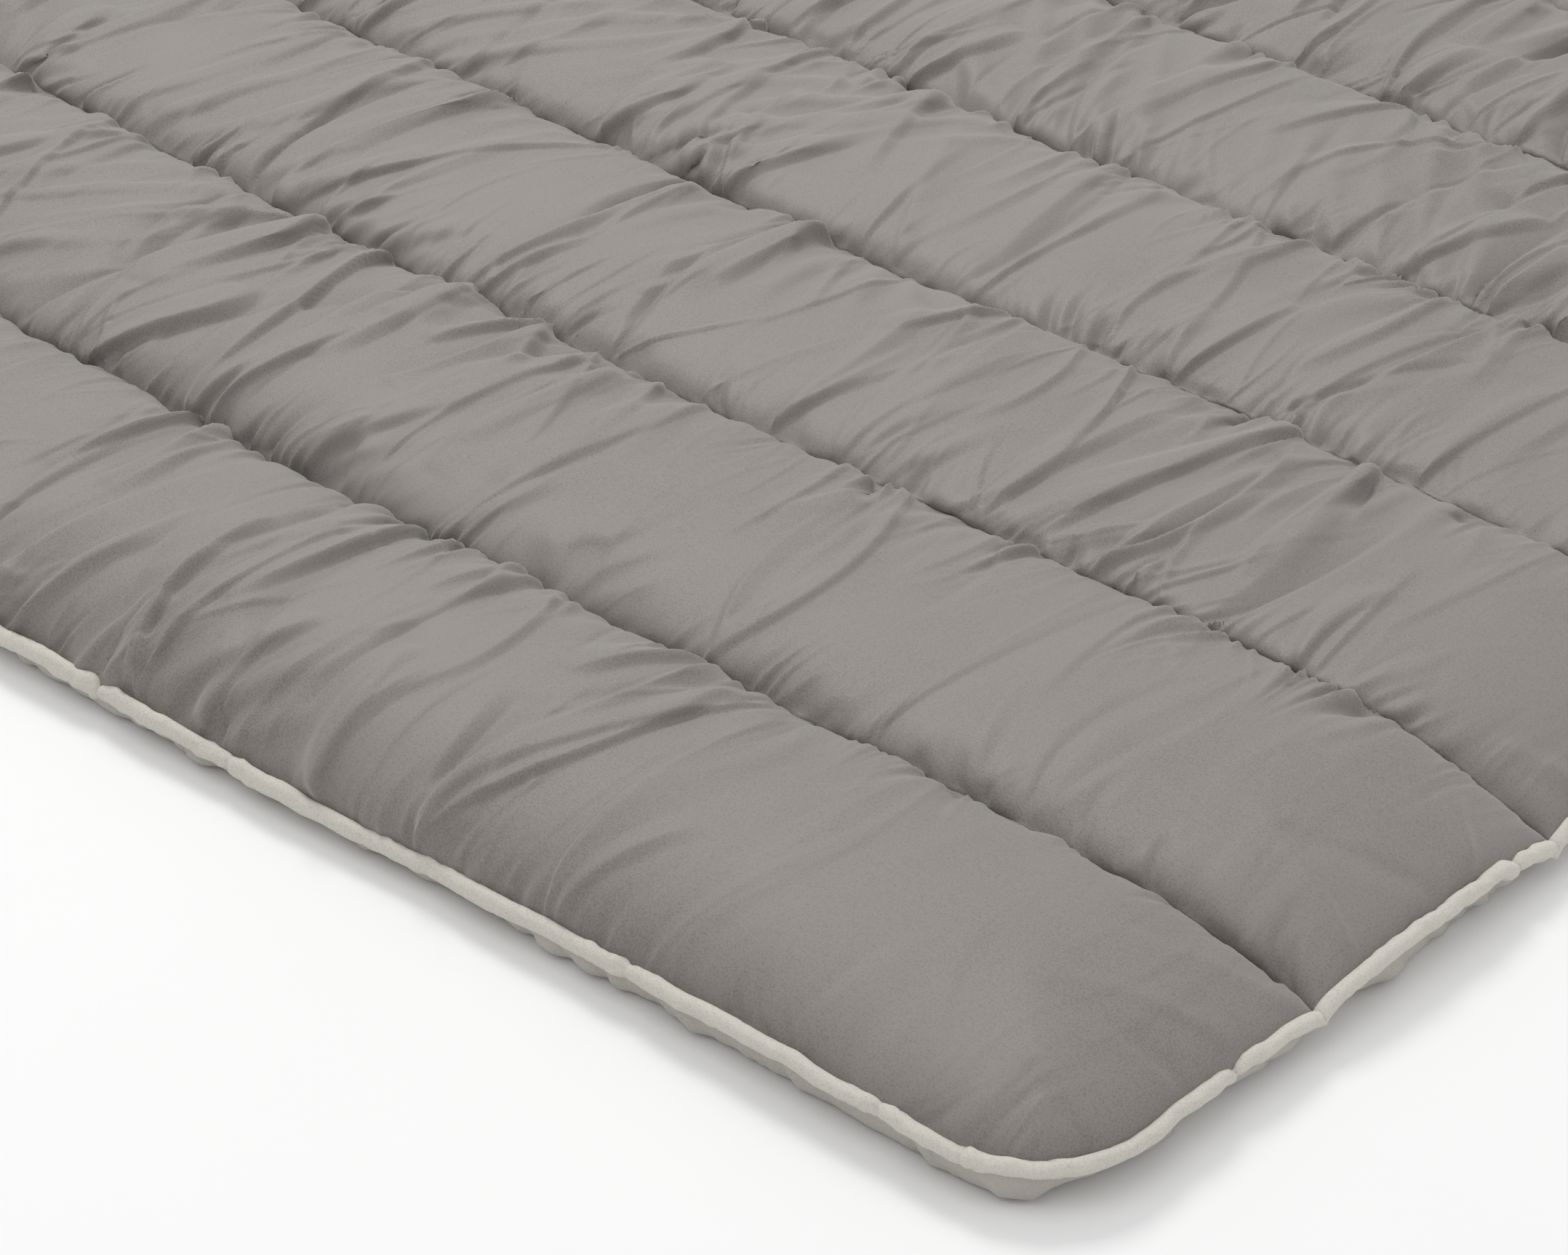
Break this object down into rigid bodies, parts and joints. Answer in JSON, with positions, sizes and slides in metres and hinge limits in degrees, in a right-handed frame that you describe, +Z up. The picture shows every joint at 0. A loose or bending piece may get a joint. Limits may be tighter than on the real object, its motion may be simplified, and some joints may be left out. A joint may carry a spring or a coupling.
{
  "type": "infrared sauna blanket",
  "caption": "Channel-quilted infrared heating blanket laid open flat, with a soft grey cover, off-white piping and backing, and a fold along its middle seam.",
  "frame": {"origin": "on the floor under the middle of the blanket, at the bottom centre of its box", "axes": "+X along the quilted channels, +Y across them from the front edge to the back edge, +Z up out of the grey side"},
  "size_m": [1.8, 1.6, 0.062],
  "materials": {
    "cover_fabric": "soft matt woven microfibre with a slight sheen",
    "piping_fabric": "matt off-white woven bias strip",
    "backing_fabric": "matt off-white brushed cotton",
    "piping_cord": "matt twisted filler cord",
    "batting": "matt fibre wadding",
    "heater_felt": "matt needled felt",
    "reflective_foil": "bright crinkled film",
    "heating_element": "matt silicone jacket over carbon fibre",
    "lead_insulation": "satin silicone insulation",
    "thread": "twisted polyester",
    "sensor_epoxy": "dipped epoxy",
    "cutout_can": "satin",
    "inlet_plastic": "fine moulded texture",
    "inlet_pin": "polished"
  },
  "bodies": {
    "lower_half": {"top_cover_front": "cover_fabric", "batting_pad_1": "batting", "batting_pad_2": "batting", "batting_pad_3": "batting", "batting_pad_4": "batting", "heating_element_1": "heating_element", "heating_element_2": "heating_element", "heating_element_3": "heating_element", "heating_element_4": "heating_element", "heater_felt_front": "heater_felt", "reflective_foil_front": "reflective_foil", "backing_front": "backing_fabric", "piping_front": "piping_fabric", "piping_cord_front": "piping_cord", "supply_ribbon_front": "lead_insulation", "temperature_sensor_front": "sensor_epoxy", "sensor_lead_front": "lead_insulation", "thermal_cutout_front": "cutout_can", "seam_thread_1": "thread", "seam_thread_2": "thread", "seam_thread_3": "thread", "seam_thread_4": "thread", "inlet_housing": "inlet_plastic", "inlet_pin_1": "inlet_pin", "inlet_pin_2": "inlet_pin", "inlet_pin_3": "inlet_pin", "inlet_ribbon": "lead_insulation"},
    "upper_half": {"top_cover_back": "cover_fabric", "batting_pad_5": "batting", "batting_pad_6": "batting", "batting_pad_7": "batting", "batting_pad_8": "batting", "heating_element_5": "heating_element", "heating_element_6": "heating_element", "heating_element_7": "heating_element", "heating_element_8": "heating_element", "heater_felt_back": "heater_felt", "reflective_foil_back": "reflective_foil", "backing_back": "backing_fabric", "piping_back": "piping_fabric", "piping_cord_back": "piping_cord", "supply_ribbon_back": "lead_insulation", "temperature_sensor_back": "sensor_epoxy", "sensor_lead_back": "lead_insulation", "thermal_cutout_back": "cutout_can", "seam_thread_5": "thread", "seam_thread_6": "thread", "seam_thread_7": "thread"}
  },
  "joints": [
    {"name": "lengthwise_fold", "type": "hinge", "parent": "lower_half", "child": "upper_half", "pos_m": [0, 0, 0.063], "axis": [1, 0, 0], "range_deg": [0, 179]}
  ]
}
